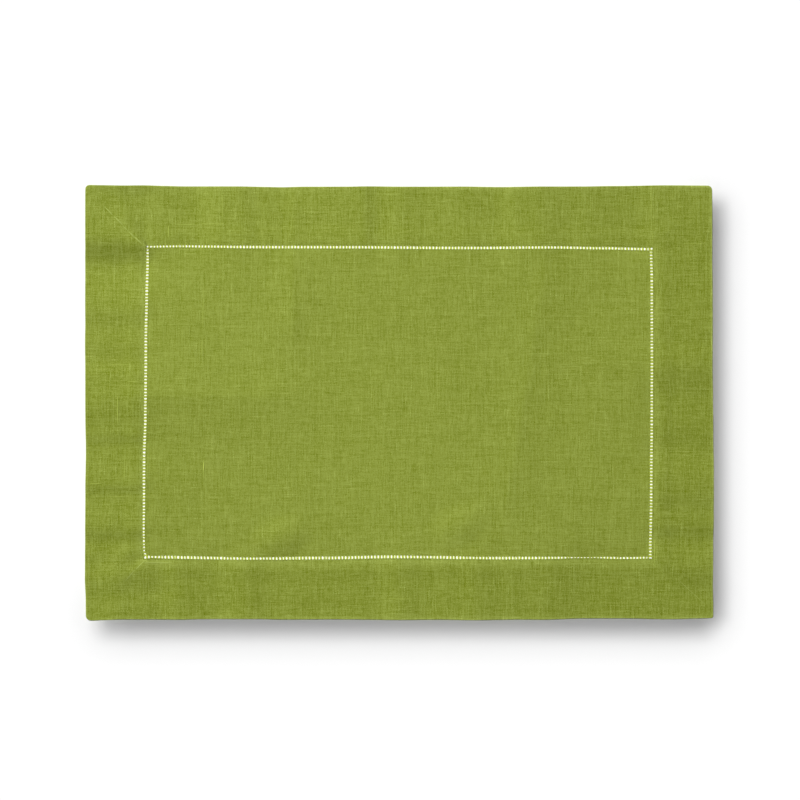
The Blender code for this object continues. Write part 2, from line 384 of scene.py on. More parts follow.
@dataclass
class HemWaves:
    """Waves that run along the hems, and die out in the panel, the short ones soonest.

    Inside the rows the surface is the smoothest one that meets the rows' own heights, which is
    a sum of sines along each row that fade inwards. Past the rows the hem's own heights take
    over within the width named blend.
    """

    row_x: float
    row_y: float
    terms: int = 40
    samples: int = 160
    blend: float = 0.0015
    crests: dict[Side, Sequence[Reading]] = field(default_factory=lambda: {
        Side.TOP: readings((-254, 3.4), (-234, 2.5), (-202, 1.6), (-168, 0.6), (-142, 1.8),
                           (-129, 1.8), (-112, 1.1), (-92, 0.5), (-40, 1.6), (-30, 1.7),
                           (-17, 0.9), (4, 1.5), (23, 1.1), (54, 1.5), (77, 1.1), (98, 1.9),
                           (112, 2.1), (142, 1.1), (193, 0.2), (211, 0.8), (254, 0.4)),
        Side.RIGHT: readings((-175, 0.2), (-166, 0.3), (-157, 0.0), (-134, 1.2), (-111, 0.3),
                             (-99, 1.1), (-87, 1.0), (-72, 1.6), (-62, 1.6), (-37, 0.7),
                             (-19, 1.2), (4, 1.1), (33, 2.5), (52, 1.8), (132, 0.7), (152, 0.9),
                             (175, 0.4)),
        Side.BOTTOM: readings((-254, 0.9), (-231, 1.8), (-213, 1.2), (-192, 0.5), (-180, 0.9),
                              (-149, 0.1), (-124, 1.1), (-103, 0.4), (-48, 0.6), (-22, 0.9),
                              (3, 2.0), (21, 1.7), (43, 2.2), (62, 2.7), (85, 2.2), (114, 1.9),
                              (162, 0.3), (235, 0.1), (254, 0.1)),
        Side.LEFT: readings((-175, 0.9), (-158, 0.8), (-143, 1.4), (-131, 0.9), (-124, 1.0),
                            (-114, 0.6), (-102, 1.5), (-76, 0.9), (-67, 1.6), (-36, 0.8),
                            (-25, 1.6), (1, 2.5), (21, 2.4), (34, 1.8), (47, 2.0), (61, 1.6),
                            (74, 2.1), (110, 0.1), (134, 3.9), (141, 3.9), (175, 3.8))})
    corners: dict[tuple[int, int], float] = field(init=False)
    parts: dict[Side, Array] = field(init=False)

    def __post_init__(self) -> None:
        """Work out the heights at the rows' corners and the sines along each row."""
        self.corners = {}
        for way_x, level in ((-1, Side.LEFT), (1, Side.RIGHT)):
            for way_y, upright in ((-1, Side.BOTTOM), (1, Side.TOP)):
                self.corners[(way_x, way_y)] = 0.5 * (
                    float(read_along(self.crests[upright], way_x * self.row_x))
                    + float(read_along(self.crests[level], way_y * self.row_y)))
        ends = {Side.TOP: ((-1, 1), (1, 1)), Side.BOTTOM: ((-1, -1), (1, -1)),
                Side.LEFT: ((-1, -1), (-1, 1)), Side.RIGHT: ((1, -1), (1, 1))}
        share = np.linspace(0.0, 1.0, self.samples + 1)
        orders = np.arange(1, self.terms + 1)
        sines = np.sin(math.pi * np.outer(orders, share))
        self.parts = {}
        for side, (start, end) in ends.items():
            half = self.row_x if side.runs_across else self.row_y
            line = self.corners[start] * (1 - share) + self.corners[end] * share
            rest = read_along(self.crests[side], (2 * share - 1) * half) - line
            self.parts[side] = 2.0 / self.samples * (sines @ rest)

    def inside(self, x: Array, y: Array) -> Array:
        """Height of the waves within the rows.

        Args:
            x: Places across the straight-sided mat, up to the rows.
            y: Places up the straight-sided mat, up to the rows.

        Returns:
            The heights.
        """
        across = (x + self.row_x) / (2 * self.row_x)
        up = (y + self.row_y) / (2 * self.row_y)
        height = (self.corners[(-1, -1)] * (1 - across) * (1 - up)
                  + self.corners[(1, -1)] * across * (1 - up)
                  + self.corners[(-1, 1)] * (1 - across) * up
                  + self.corners[(1, 1)] * across * up)
        slim, wide = self.row_y / self.row_x, self.row_x / self.row_y
        runs = ((Side.TOP, across, up, slim), (Side.BOTTOM, across, 1 - up, slim),
                (Side.RIGHT, up, across, wide), (Side.LEFT, up, 1 - across, wide))
        for order in range(1, self.terms + 1):
            for side, along, near, ratio in runs:
                rate = order * math.pi * ratio
                fade = (np.exp(rate * (near - 1)) * (1 - np.exp(-2 * rate * near))
                        / (1 - math.exp(-2 * rate)))
                height = height + self.parts[side][order - 1] * fade * np.sin(
                    order * math.pi * along)
        return height

    def height(self, x: Array, y: Array) -> Array:
        """Height of the waves anywhere on the mat.

        Args:
            x: Places across the straight-sided mat.
            y: Places up the straight-sided mat.

        Returns:
            The heights.
        """
        inner = self.inside(np.clip(x, -self.row_x, self.row_x),
                            np.clip(y, -self.row_y, self.row_y))
        past = past_rows(x, y, self.row_x, self.row_y)
        total, weights = np.zeros_like(x), np.full_like(x, LEAST_WEIGHT)
        for side, out in past.items():
            along = x if side.runs_across else y
            weight = np.maximum(out, 0.0) ** 3
            total += weight * read_along(self.crests[side], along)
            weights += weight
        share = smooth_step(np.maximum.reduce(list(past.values())) / self.blend)
        return inner + (total / weights - inner) * share


@dataclass
class ClothRelief:
    """Heights of the cloth's layers over the table, its ripples and its old fold lines.

    A layer's height is that of its middle. From the row, the hem's face stays level for the
    ledge, rises over the shoulder, and falls again where the tuck under it ends. The panel falls
    from the row inwards. The wrinkles are two sizes of noise, read at two slices.
    """

    waves: HemWaves
    cloth: float = 0.00042
    under_layer: float = 0.00023
    tuck_layer: float = 0.00066
    face_outer: float = 0.00092
    face_inner: float = 0.00112
    row_height: float = 0.00100
    panel_height: float = 0.00024
    tuck_width: float = 0.0100
    tuck_fall: float = 0.008
    ledge: float = 0.0008
    shoulder: float = 0.0040
    panel_fall: float = 0.100
    fold_half: float = 0.00038
    seam_half_width: float = 0.0011
    seam_heights: dict[tuple[int, int], float] = field(default_factory=lambda: {
        (-1, 1): 0.00006, (1, 1): 0.0, (-1, -1): 0.00006, (1, -1): 0.00004})
    seam_reach: float = 0.032
    seam_start: float = 0.004
    unevenness: float = 0.00009
    wrinkle_rates: tuple[float, float] = (55.0, 130.0)
    wrinkle_slices: tuple[float, float] = (0.3, 4.1)
    fine_share: float = 0.5
    wrinkle_rise: float = 0.8
    ripples: Sequence[Ripple] = (
        Ripple(x=-222, y=180, turn=-3, half_length=38, half_width=15, height=1.1),
        Ripple(x=-219, y=147, turn=-45, half_length=16, half_width=9, height=0.45),
        Ripple(x=-213, y=-128, turn=45, half_length=14, half_width=9, height=-0.5),
        Ripple(x=-226, y=-136, turn=34, half_length=24, half_width=17, height=0.6),
        Ripple(x=-206, y=-154, turn=6, half_length=38, half_width=12, height=-0.5),
        Ripple(x=-94, y=-109, turn=20, half_length=30, half_width=20, height=1.3),
        Ripple(x=50, y=-100, turn=26, half_length=30, half_width=20, height=0.9),
    )
    folds: Sequence[Ripple] = (
        Ripple(x=-86, y=110, turn=90, half_length=80, half_width=40, height=1.0),
        Ripple(x=103, y=13, turn=81, half_length=130, half_width=45, height=0.8),
        Ripple(x=-160, y=4, turn=0, half_length=105, half_width=60, height=1.2),
    )

    def lift(self, x: Array, y: Array) -> Array:
        """Height of the cloth off the table, from its ripples, folds and small unevenness.

        Args:
            x: Places across the straight-sided mat.
            y: Places up the straight-sided mat.

        Returns:
            The heights, none below zero.
        """
        height = np.zeros_like(x)
        for ripple in self.ripples:
            along, across = self.within(ripple, x, y)
            reach = np.clip(along * along + across * across, 0.0, 1.0)
            height += ripple.height * MM * (1.0 - reach) ** 2
        for fold in self.folds:
            along, across = self.within(fold, x, y)
            crest = np.clip(1.0 - np.abs(across), 0.0, 1.0) ** 2
            height += fold.height * MM * crest * smooth_step(2.0 * (1.0 - np.abs(along)))
        height += self.waves.height(x, y)
        rise = self.unevenness * (self.wrinkles(x, y) + self.wrinkle_rise)
        return np.maximum(height + rise, 0.0)

    def wrinkles(self, x: Array, y: Array) -> Array:
        """Small unevenness of the cloth as a value around zero, from two sizes of noise."""
        coarse, fine = self.wrinkle_rates
        coarse_slice, fine_slice = self.wrinkle_slices
        return np.array([
            noise.noise(Vector((a * coarse, b * coarse, coarse_slice)))
            + self.fine_share * noise.noise(Vector((a * fine, b * fine, fine_slice)))
            for a, b in zip(x, y)])

    @staticmethod
    def within(ripple: Ripple, x: Array, y: Array) -> tuple[Array, Array]:
        """Place points along and across a ripple, as shares of its half sizes."""
        turn = math.radians(ripple.turn)
        from_x, from_y = x / MM - ripple.x, y / MM - ripple.y
        along = (from_x * math.cos(turn) + from_y * math.sin(turn)) / ripple.half_length
        across = (from_y * math.cos(turn) - from_x * math.sin(turn)) / ripple.half_width
        return along, across

    def face_profile(self, out: Array) -> Array:
        """Height of the hem's face layer at distances outwards from the row."""
        rise = smooth_step((out - self.ledge) / self.shoulder)
        inner = self.row_height + (self.face_inner - self.row_height) * rise
        fall = smooth_step((out - self.tuck_width) / self.tuck_fall)
        return inner + (self.face_outer - self.face_inner) * fall

    def panel_profile(self, inside: Array) -> Array:
        """Height of the panel at distances inwards from the row."""
        fall = smooth_step((inside - self.ledge) / self.panel_fall)
        return self.row_height + (self.panel_height - self.row_height) * fall


@dataclass
class DrawnStrip:
    """The strip where threads were drawn out: its width and its number of bundles a side."""

    bundles: dict[Side, int] = field(default_factory=lambda: {
        Side.TOP: 157, Side.RIGHT: 97, Side.BOTTOM: 154, Side.LEFT: 98})
    widths: dict[Side, Sequence[Reading]] = field(default_factory=lambda: {
        Side.TOP: readings((-204, 1.4), (-198, 1.6), (-150, 1.9), (-130, 2.2), (50, 2.2),
                           (204, 2.0)),
        Side.RIGHT: readings((-125, 2.1), (125, 2.2)),
        Side.BOTTOM: readings((-206, 2.5), (-203, 2.4), (-200, 1.5), (-188, 2.4), (-145, 2.2),
                              (-116, 1.9), (-88, 2.4), (0, 2.4), (20, 2.1), (45, 2.4), (63, 1.8),
                              (85, 2.3), (112, 2.1), (128, 1.8), (142, 0.9), (158, 0.7),
                              (170, 1.6), (204, 1.6)),
        Side.LEFT: readings((-126, 2.3), (-122, 1.1), (-108, 1.7), (-90, 2.0), (-60, 2.2),
                            (90, 2.3), (118, 2.0), (126, 1.3))})

    def half_width(self, side: Side, along: Array) -> Array:
        """Half the drawn strip's width at places along one side."""
        return read_along(self.widths[side], along) / 2


@dataclass
class LinenCloth:
    """The mat's cloth: the centre panel and the folded hem around it.

    The hem's section is given by its points: the face's from the row outwards, and those of the
    under layer and the tuck from the outer edge inwards. The fold and the tuck's fold are half
    turns between them. Light and shade are painted on the hem: each side is darker as painted
    shade, and lighter in bands by the row and by the edge and on the outer fold, as painted
    light.
    The band by the row is whole from row_band_start, and fades past row_band_full of its width.
    """

    shape: MatShape
    relief: ClothRelief
    strip: DrawnStrip
    panel_spacing: float = 0.0024
    panel_near: float = 0.004
    loop_spacing: float = 0.0030
    corner_spacing: float = 0.0007
    spacing_growth: float = 1.3
    face_reaches_mm: Sequence[float] = (
        0.0, 0.5, 1.1, 1.8, 2.6, 3.6, 5.0, 7.0, 9.2, 10.6, 11.8, 13.2, 15.0, 17.5, 20.5, 24.0,
        28.0, 32.0, 36.0, 39.5, 42.5, 44.8, 46.4, 47.5, 48.3, 48.9)
    under_insets_mm: Sequence[float] = (
        0.9, 1.6, 2.8, 4.6, 7.5, 11.5, 16.0, 21.0, 26.0, 31.0, 35.5, 39.5, 42.8, 45.2, 46.8)
    tuck_insets_mm: Sequence[float] = (47.4, 46.4, 44.4, 41.8, 39.4)
    fold_turns_deg: Sequence[float] = (20.0, 50.0, 90.0, 130.0, 160.0)
    tuck_gap: float = 0.0012
    tuck_half: float = 0.0006
    hem_near: float = 0.005
    corner_near: float = 0.003
    weld: float = 1e-6
    smooth_deg: float = 60.0
    # Painted light and shade on each side of the hem.
    tones: dict[Side, HemPaintedLight] = field(default_factory=lambda: {
        Side.TOP: HemPaintedLight(whole=0.975, row_painted_light=0.02, row_band=0.0040,
                          edge_painted_light=0.10, edge_band=0.0072, fold=0.0),
        Side.RIGHT: HemPaintedLight(whole=0.935, row_painted_light=0.12, row_band=0.0095,
                            edge_painted_light=0.08, edge_band=0.0048, fold=0.6),
        Side.BOTTOM: HemPaintedLight(whole=0.942, row_painted_light=0.17, row_band=0.0105,
                             edge_painted_light=0.13, edge_band=0.0054, fold=0.2),
        Side.LEFT: HemPaintedLight(whole=0.955, row_painted_light=0.14, row_band=0.0070,
                           edge_painted_light=0.0, edge_band=0.0048, fold=0.0)})
    # Where the painted light by the row and on the outer fold begins and fades.
    row_band_full: float = 0.35
    row_band_start: float = 0.0004
    fold_band: float = 0.0008
    fold_band_start: float = 0.0006

    def stations(self, length: float) -> Array:
        """Shares along one side where the hem has a line of points, closer at its ends.

        Args:
            length: The side's length.

        Returns:
            Shares from 0 to 1.
        """
        spacing, place, low = self.corner_spacing, 0.0, [0.0]
        while spacing < self.loop_spacing:
            place += spacing
            low.append(place)
            spacing *= self.spacing_growth
        count = round((length - 2 * place) / self.loop_spacing)
        middle = place + (length - 2 * place) * np.arange(1, count) / count
        high = length - np.array(low[::-1])
        return np.concatenate([low, middle, high]) / length

    def thicken(self, piece: bpy.types.Object) -> None:
        """Give a cloth surface its thickness, half to each side.

        Args:
            piece: The surface, which becomes a closed sheet.
        """
        solidify = piece.modifiers.new("cloth thickness", "SOLIDIFY")
        solidify.thickness = self.relief.cloth
        solidify.offset = 0.0
        solidify.use_even_offset = False
        select_only(piece)
        bpy.ops.object.modifier_apply(modifier=solidify.name)
        bpy.ops.object.shade_smooth_by_angle(angle=math.radians(self.smooth_deg))

    def write_painted_light(self, piece: bpy.types.Object, x: Array, y: Array) -> None:
        """Paint light and shade into the hem as the attribute named tone: each side darker as
        painted shade, and lighter by the row, by the edge and on the outer fold as painted light.

        Args:
            piece: The cloth surface.
            x: Its points' places across on the straight-sided mat.
            y: Its points' places up on the straight-sided mat.
        """
        past = past_rows(x, y, self.shape.row_x, self.shape.row_y)
        weights = {side: np.maximum(value, 0.0) ** 2 for side, value in past.items()}
        total = np.maximum(sum(weights.values()), LEAST_WEIGHT)
        out = np.maximum(np.maximum.reduce(list(past.values())), 0.0)
        inset = self.shape.hem_x - out
        # Painted light on the outer fold, which makes up for its shade where it turns from the
        # light.
        fold_light_mask = 1 - smooth_step((inset - self.fold_band_start) / self.fold_band)
        tone = np.ones_like(x)
        for side, weight in weights.items():
            given = self.tones[side]
            # Painted light in bands by the row and by the edge, added to each side's painted
            # shade.
            row_painted_light = 1 - smooth_step((out / given.row_band - self.row_band_full)
                                     / (1 - self.row_band_full))
            row_painted_light *= smooth_step(out / self.row_band_start)
            edge_painted_light = 1 - smooth_step(inset / given.edge_band)
            change = (given.whole - 1 + given.row_painted_light * row_painted_light + given.edge_painted_light * edge_painted_light
                      + given.fold * fold_light_mask)
            tone += change * weight / total
        layer = piece.data.attributes.new("tone", "FLOAT", "POINT")
        layer.data.foreach_set("value", tone)

    def face_height(self, x: Array, y: Array) -> Array:
        """Height of the cloth's upper surface over the ripples' own, at places on the mat."""
        out = np.maximum(np.abs(x) - self.shape.row_x, np.abs(y) - self.shape.row_y)
        height = np.where(out > 0, self.relief.face_profile(out), self.relief.panel_profile(-out))
        return height + self.relief.cloth / 2

    def place(self, x: Array, y: Array, height: Array) -> Array:
        """Lay points of the straight-sided mat out on the real one.

        Args:
            x: Places across the straight-sided mat.
            y: Places up the straight-sided mat.
            height: Heights before the ripples are added.

        Returns:
            One row for each point.
        """
        place_x, place_y = self.shape.laid_out(x, y)
        return np.stack([place_x, place_y, height + self.relief.lift(x, y)], axis=1)

    def points_at(self, side: Side, along: Array, reach: Array) -> Array:
        """Points on the face near one side's row.

        Args:
            side: The side of the mat.
            along: Places along the row.
            reach: Distances outwards from the row's line.

        Returns:
            One row for each point.
        """
        x, y = self.shape.near_row(side, along, reach)
        return self.place(x, y, self.face_height(x, y))

    def build_panel(self) -> bpy.types.Object:
        """Model the centre panel, out to the drawn strip.

        Returns:
            The panel.
        """
        shape, strip = self.shape, self.strip
        count_x = round(2 * shape.row_x / self.panel_spacing)
        count_y = round(2 * shape.row_y / self.panel_spacing)
        piece, step_x, step_y = new_grid("linen_panel", count_x, count_y)
        across, up = step_x / count_x, step_y / count_y
        x = (2 * across - 1) * shape.row_x
        y = (2 * up - 1) * shape.row_y
        near = self.panel_near
        x += strip.half_width(Side.LEFT, y) * smooth_step(1 - (x + shape.row_x) / near)
        x -= strip.half_width(Side.RIGHT, y) * smooth_step(1 - (shape.row_x - x) / near)
        y += strip.half_width(Side.BOTTOM, x) * smooth_step(1 - (y + shape.row_y) / near)
        y -= strip.half_width(Side.TOP, x) * smooth_step(1 - (shape.row_y - y) / near)
        inside = np.minimum(shape.row_x - np.abs(x), shape.row_y - np.abs(y))
        place_points(piece, self.place(x, y, self.relief.panel_profile(inside)))
        write_uv(piece, np.stack([x, y], axis=1)[corner_points_of(piece)])
        self.write_painted_light(piece, x, y)
        self.thicken(piece)
        return piece

    def build_hem(self) -> bpy.types.Object:
        """Model the hem as one loop of cloth: face, outer fold, under layer and tuck.

        Returns:
            The hem.
        """
        insets, heights, under = self.hem_section()
        shares, side_of = [], []
        for index, side in enumerate(Side):
            half = self.shape.half_x if side.runs_across else self.shape.half_y
            along = self.stations(2 * half)
            shares.extend(along[:-1])
            side_of.extend([index] * (len(along) - 1))
        count = len(shares)
        shares.append(0.0)
        side_of.append(0)
        piece, step_around, step_out = new_grid("linen_hem", count, len(insets) - 1)
        share = np.array(shares)[step_around]
        side_index = np.array(side_of)[step_around]
        inset = insets[step_out]
        x, y = self.on_ring(side_index, share, inset)
        self.open_strip(x, y, inset)
        ridge = self.mitre(x, y)
        points = self.place(x, y, heights[step_out])
        points[:, 2] += np.where(under[step_out], 0.5 * ridge, ridge)
        place_points(piece, points)
        write_uv(piece, self.hem_uv(piece, x, y, under[step_out], step_around, side_of))
        self.write_painted_light(piece, x, y)
        turn_outwards(piece, self.weld)
        self.thicken(piece)
        return piece

    def hem_section(self) -> tuple[Array, Array, Array]:
        """Work out the hem's section, from the row over the outer fold to the raw edge.

        Returns:
            Insets from the outer edge, heights, and whether each is under the face.
        """
        relief, width = self.relief, self.shape.hem_x
        out = np.array(self.face_reaches_mm) * MM
        face_insets = width - out
        face_heights = relief.face_profile(out)
        fold_top, fold_low = face_heights[-1], relief.under_layer
        fold_half = (fold_top - fold_low) / 2
        turn = np.radians(self.fold_turns_deg)
        edge = relief.cloth / 2
        fold_insets = edge + relief.fold_half * (1.0 - np.sin(turn))
        fold_heights = fold_low + fold_half + fold_half * np.cos(turn)
        under_insets = np.array(self.under_insets_mm) * MM
        under_heights = np.full(len(under_insets), fold_low)
        tuck_rise = (relief.tuck_layer - fold_low) / 2
        tuck_edge = width - self.tuck_gap
        tuck_fold = tuck_edge - self.tuck_half * (1.0 - np.sin(turn))
        tuck_fold_heights = fold_low + tuck_rise - tuck_rise * np.cos(turn)
        tuck_insets = np.array(self.tuck_insets_mm) * MM
        tuck_heights = np.full(len(tuck_insets), relief.tuck_layer)
        insets = np.concatenate([face_insets, fold_insets, under_insets, tuck_fold, tuck_insets])
        heights = np.concatenate([face_heights, fold_heights, under_heights,
                                  tuck_fold_heights, tuck_heights])
        past_fold = len(face_insets) + len(self.fold_turns_deg) // 2 + 1
        return insets, heights, np.arange(len(insets)) >= past_fold

    def on_ring(self, side_index: Array, share: Array, inset: Array) -> tuple[Array, Array]:
        """Place points on the rectangle that lies a given inset inside the outer edge.

        Args:
            side_index: Which side each point is on, in the order of the loop.
            share: How far along its side each point is.
            inset: How far inside the outer edge each point is.

        Returns:
            Places across and up on the straight-sided mat.
        """
        shape = self.shape
        reach_x = shape.half_x - inset
        reach_y = shape.half_y - inset * shape.hem_y / shape.hem_x
        run = 2 * share - 1
        x = np.select([side_index == 0, side_index == 1, side_index == 2],
                      [run * reach_x, reach_x, -run * reach_x], -reach_x)
        y = np.select([side_index == 0, side_index == 1, side_index == 2],
                      [reach_y, -run * reach_y, -reach_y], run * reach_y)
        return x, y

    def open_strip(self, x: Array, y: Array, inset: Array) -> None:
        """Move the hem's inner edge out from the row by half the drawn strip's width.

        Args:
            x: Places across, which are changed in place.
            y: Places up, which are changed in place.
            inset: How far inside the outer edge each point is.
        """
        shape, strip = self.shape, self.strip
        near = smooth_step(1 - (shape.hem_x - inset) / self.hem_near)
        fade_x = near * smooth_step(1 - (shape.row_x - np.abs(x)) / self.corner_near)
        fade_y = near * smooth_step(1 - (shape.row_y - np.abs(y)) / self.corner_near)
        half_x = np.where(x < 0, strip.half_width(Side.LEFT, y), strip.half_width(Side.RIGHT, y))
        half_y = np.where(y < 0, strip.half_width(Side.BOTTOM, x), strip.half_width(Side.TOP, x))
        x += np.sign(x) * half_x * fade_x
        y += np.sign(y) * half_y * fade_y

    def mitre(self, x: Array, y: Array) -> Array:
        """Height of the ridge over each corner's seam, from the row's corner outwards."""
        shape, relief = self.shape, self.relief
        past_x, past_y = np.abs(x) - shape.row_x, np.abs(y) - shape.row_y
        off = np.abs(past_x - past_y) / math.sqrt(2.0)
        inside = (smooth_step(np.minimum(past_x, past_y) / relief.seam_start)
                  * smooth_step((relief.seam_reach - past_x) / relief.seam_reach))
        height = sum(top * (np.sign(x) == way_x) * (np.sign(y) == way_y)
                     for (way_x, way_y), top in relief.seam_heights.items())
        return height * inside * np.exp(-(off / relief.seam_half_width) ** 2)

    def hem_uv(self, piece: bpy.types.Object, x: Array, y: Array, under: Array,
               step_around: Array, side_of: Sequence[int]) -> Array:
        """Unfold the hem: places on the cut cloth for each of its face corners.

        Args:
            piece: The hem before its ends are joined.
            x: Places across on the straight-sided mat.
            y: Places up on the straight-sided mat.
            under: Whether each point is past the outer fold.
            step_around: Each point's step round the loop.
            side_of: The side of each step.

        Returns:
            One row for each face corner.
        """
        corners = corner_points_of(piece)
        face_step = step_around[corners].reshape(-1, 4).min(axis=1)
        face_side = np.repeat(np.array(side_of)[face_step], 4)
        u, v, below = x[corners], y[corners], under[corners]
        sideways = (face_side == 1) | (face_side == 3)
        turned_u = np.sign(u) * (2 * self.shape.half_x - np.abs(u))
        turned_v = np.sign(v) * (2 * self.shape.half_y - np.abs(v))
        u = np.where(below & sideways, turned_u, u)
        v = np.where(below & ~sideways, turned_v, v)
        return np.stack([u, v], axis=1)


@dataclass
class YarnBundles:
    """Bare yarns of the drawn strip, gathered into bundles that part its holes.

    A bundle's waist takes a share of the pitch, and its ends spread to end_share of an even
    spacing. Bundles shift and slant sideways at random, with spreads given in pitches, and their
    girths vary within limits. The fatness is a yarn's radius over the gap between yarns, and
    it varies from thinnest upwards.
    """

    cloth: LinenCloth
    yarns: int = 4
    waist_shares: dict[Side, float] = field(default_factory=lambda: {
        Side.TOP: 0.64, Side.RIGHT: 0.71, Side.BOTTOM: 0.65, Side.LEFT: 0.64})
    waist_power: float = 1.5
    end_share: float = 0.80
    wander_share: float = 0.06
    slant_share: float = 0.08
    girth_spread: float = 0.10
    girth_limits: tuple[float, float] = (0.75, 1.3)
    fatness: float = 0.56
    thinnest: float = 0.94
    thickness_range: float = 0.12
    weave_rise: float = 0.00012
    bite: float = 0.0005
    sides: int = 4
    rings: int = 5
    seed: int = 11

    def template(self) -> tuple[Array, list[tuple[int, ...]]]:
        """Model one straight yarn of unit size, by extruding a small ring.

        Returns:
            Its points (two across and one along, from 0 to 1) and its faces.
        """
        deselect_all()
        bpy.ops.mesh.primitive_circle_add(vertices=self.sides, radius=1.0, fill_type="NGON")
        yarn = bpy.context.object
        bpy.ops.object.mode_set(mode="EDIT")
        bpy.ops.mesh.select_all(action="SELECT")
        for _ in range(self.rings - 1):
            bpy.ops.mesh.extrude_region_move(
                TRANSFORM_OT_translate={"value": (0.0, 0.0, 1.0 / (self.rings - 1))})
        turn_outwards(yarn)
        points = points_of(yarn)
        faces = [tuple(face.vertices) for face in yarn.data.polygons]
        bpy.data.objects.remove(yarn, do_unlink=True)
        return points, faces

    def places(self, side: Side) -> Array:
        """Places of one side's bundles along the row, in metres from the middle."""
        half = self.cloth.shape.row_x if side.runs_across else self.cloth.shape.row_y
        count = self.cloth.strip.bundles[side]
        return (2 * (np.arange(count) + 0.5) / count - 1) * half

    def ends(self, side: Side, along: Array) -> tuple[Array, Array]:
        """Points where bundles leave the panel and reach the hem.

        Args:
            side: The side of the mat.
            along: Places along the row.

        Returns:
            The points at the panel's edge and those at the hem's edge.
        """
        half = self.cloth.strip.half_width(side, along)
        found = []
        for reach in (-half - self.bite, half + self.bite):
            x, y = self.cloth.shape.near_row(side, along, reach)
            found.append(self.cloth.place(x, y, self.cloth.relief.row_height))
        return found[0], found[1]

    def on_side(self, side: Side, unit: Array, chance: np.random.Generator) -> list[Array]:
        """Lay the yarns of one side's bundles.

        Args:
            side: The side of the mat.
            unit: Points of the straight yarn of unit size.
            chance: The source of the small differences between bundles and yarns.

        Returns:
            The points of each yarn.
        """
        places = self.places(side)
        pitch = places[1] - places[0]
        wander = chance.normal(0.0, self.wander_share, len(places)) * pitch
        slant = chance.normal(0.0, self.slant_share, len(places)) * pitch
        girth = chance.normal(1.0, self.girth_spread, len(places)).clip(*self.girth_limits)
        waist_gap = pitch * self.waist_shares[side] / (self.yarns - 1 + 2 * self.fatness)
        end_gap = pitch / self.yarns * self.end_share
        low, high = self.ends(side, places)
        along_way = np.array([1.0, 0.0, 0.0] if side.runs_across else [0.0, 1.0, 0.0])
        share = unit[:, 2]
        waist = np.sin(np.pi * share) ** self.waist_power
        laid = []
        for index in range(len(places)):
            middle = low[index] + (high[index] - low[index]) * share[:, None]
            shift = wander[index] * waist + slant[index] * (share - 0.5)
            for yarn in range(self.yarns):
                offset = yarn - (self.yarns - 1) / 2
                spread = offset * (end_gap + (waist_gap * girth[index] - end_gap) * waist)
                centre = middle + along_way * (spread + shift)[:, None]
                centre[:, 2] += self.weave_rise * waist * (1 if yarn % 2 else -1)
                thickness = self.thinnest + self.thickness_range * chance.random()
                radius = self.fatness * waist_gap * thickness
                points = centre + along_way * unit[:, :1] * radius
                points[:, 2] += unit[:, 1] * radius
                laid.append(points)
        return laid

    def build(self) -> bpy.types.Object:
        """Lay every yarn of every bundle, and join them in one mesh.

        Returns:
            The bundles.
        """
        unit, unit_faces = self.template()
        chance = np.random.default_rng(self.seed)
        laid = [points for side in Side for points in self.on_side(side, unit, chance)]
        faces = [tuple(index * len(unit) + point for point in face)
                 for index in range(len(laid)) for face in unit_faces]
        mesh = bpy.data.meshes.new("yarn_bundles")
        mesh.from_pydata(np.concatenate(laid).tolist(), [], faces)
        piece = bpy.data.objects.new("yarn_bundles", mesh)
        bpy.context.scene.collection.objects.link(piece)
        turn_outwards(piece)
        bpy.ops.object.shade_smooth()
        return piece


def make_tubes(name: str, paths: Sequence[Array], radii: Sequence[Array],
               closed: Sequence[bool], roundness: int = 0) -> bpy.types.Object:
    """Lay thin tubes along paths, joined in one mesh.

    Args:
        name: The new object's name.
        paths: The points of each tube, one row each.
        radii: The radius at each of those points.
        closed: Whether each tube's end meets its start.
        roundness: 0 for four sides, and two sides more for each step.

    Returns:
        The tubes.
    """
    curve = bpy.data.curves.new(name, "CURVE")
    curve.dimensions = "3D"
    curve.bevel_depth = 1.0
    curve.bevel_resolution = roundness
    curve.use_fill_caps = True
    for path, radius, is_closed in zip(paths, radii, closed):
        spline = curve.splines.new("POLY")
        spline.points.add(len(path) - 1)
        ones = np.ones((len(path), 1))
        spline.points.foreach_set("co", np.hstack([path, ones]).ravel())
        spline.points.foreach_set("radius", np.asarray(radius, float))
        spline.use_cyclic_u = is_closed
    tubes = bpy.data.objects.new(name, curve)
    bpy.context.scene.collection.objects.link(tubes)
    select_only(tubes)
    bpy.ops.object.convert(target="MESH")
    tubes = bpy.context.object
    tubes.name = tubes.data.name = name
    turn_outwards(tubes)
    bpy.ops.object.shade_smooth()
    return tubes


